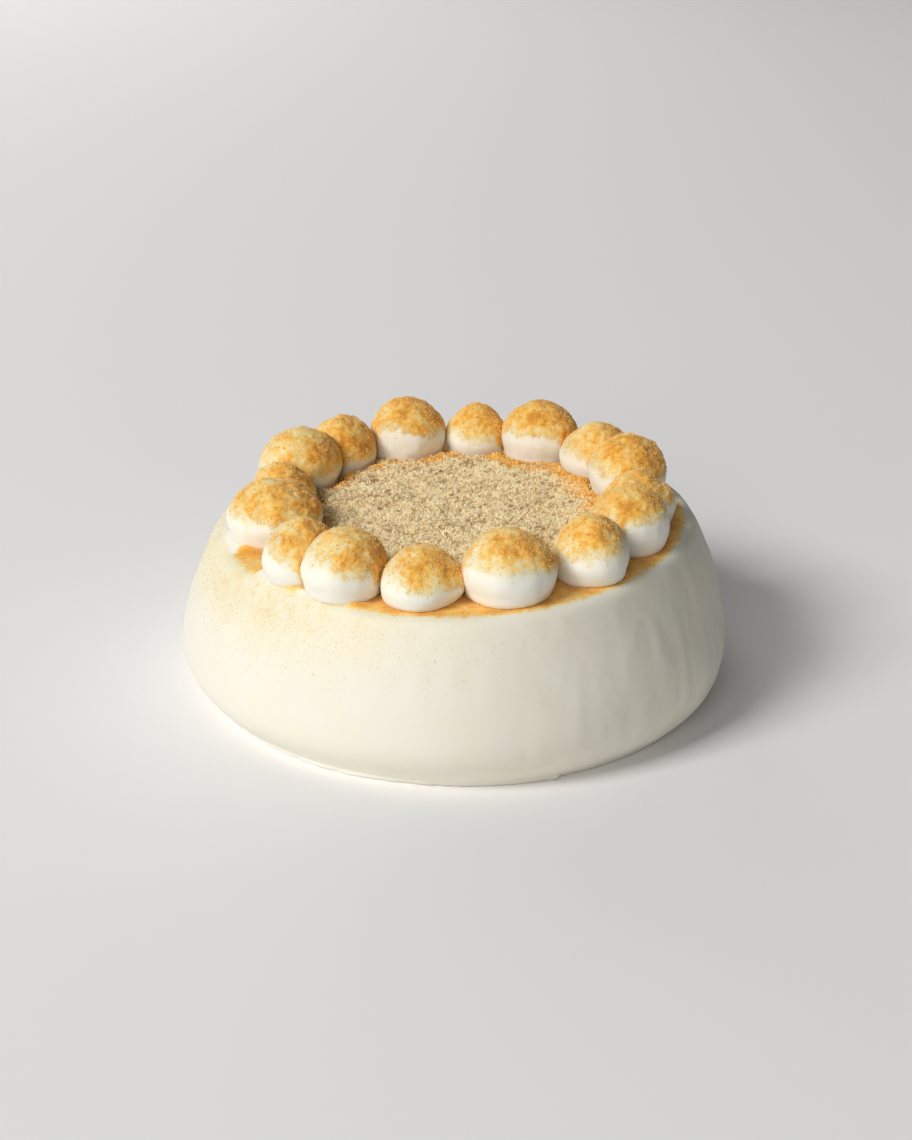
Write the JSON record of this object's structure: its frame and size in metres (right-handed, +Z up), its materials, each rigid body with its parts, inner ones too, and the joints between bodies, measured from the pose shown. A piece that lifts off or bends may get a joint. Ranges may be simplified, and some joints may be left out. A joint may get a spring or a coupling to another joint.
{
  "type": "tofu cheesecake",
  "caption": "Round uncut cream-covered tofu cheesecake with a flat top, a ring of dusted cream dollops and a bed of fine crumbs inside the ring.",
  "frame": {"origin": "middle of the underside, on the surface that the cake stands on", "axes": "+Z up, -Y towards the front that the picture shows, +X to the right seen from the front"},
  "size_m": [0.1688, 0.1688, 0.0723],
  "materials": {
    "cream": "soft matte spread cream",
    "dusted_cream": "cream dusted with roasted soy flour",
    "crumb": "dry fine crumb"
  },
  "bodies": {
    "root": {"cake_body": "cream", "crumb_bed": "crumb", "dollop_01": "dusted_cream", "dollop_02": "dusted_cream", "dollop_03": "dusted_cream", "dollop_04": "dusted_cream", "dollop_05": "dusted_cream", "dollop_06": "dusted_cream", "dollop_07": "dusted_cream", "dollop_08": "dusted_cream", "dollop_09": "dusted_cream", "dollop_10": "dusted_cream", "dollop_11": "dusted_cream", "dollop_12": "dusted_cream", "dollop_13": "dusted_cream", "dollop_14": "dusted_cream", "dollop_15": "dusted_cream", "dollop_16": "dusted_cream"}
  },
  "joints": []
}
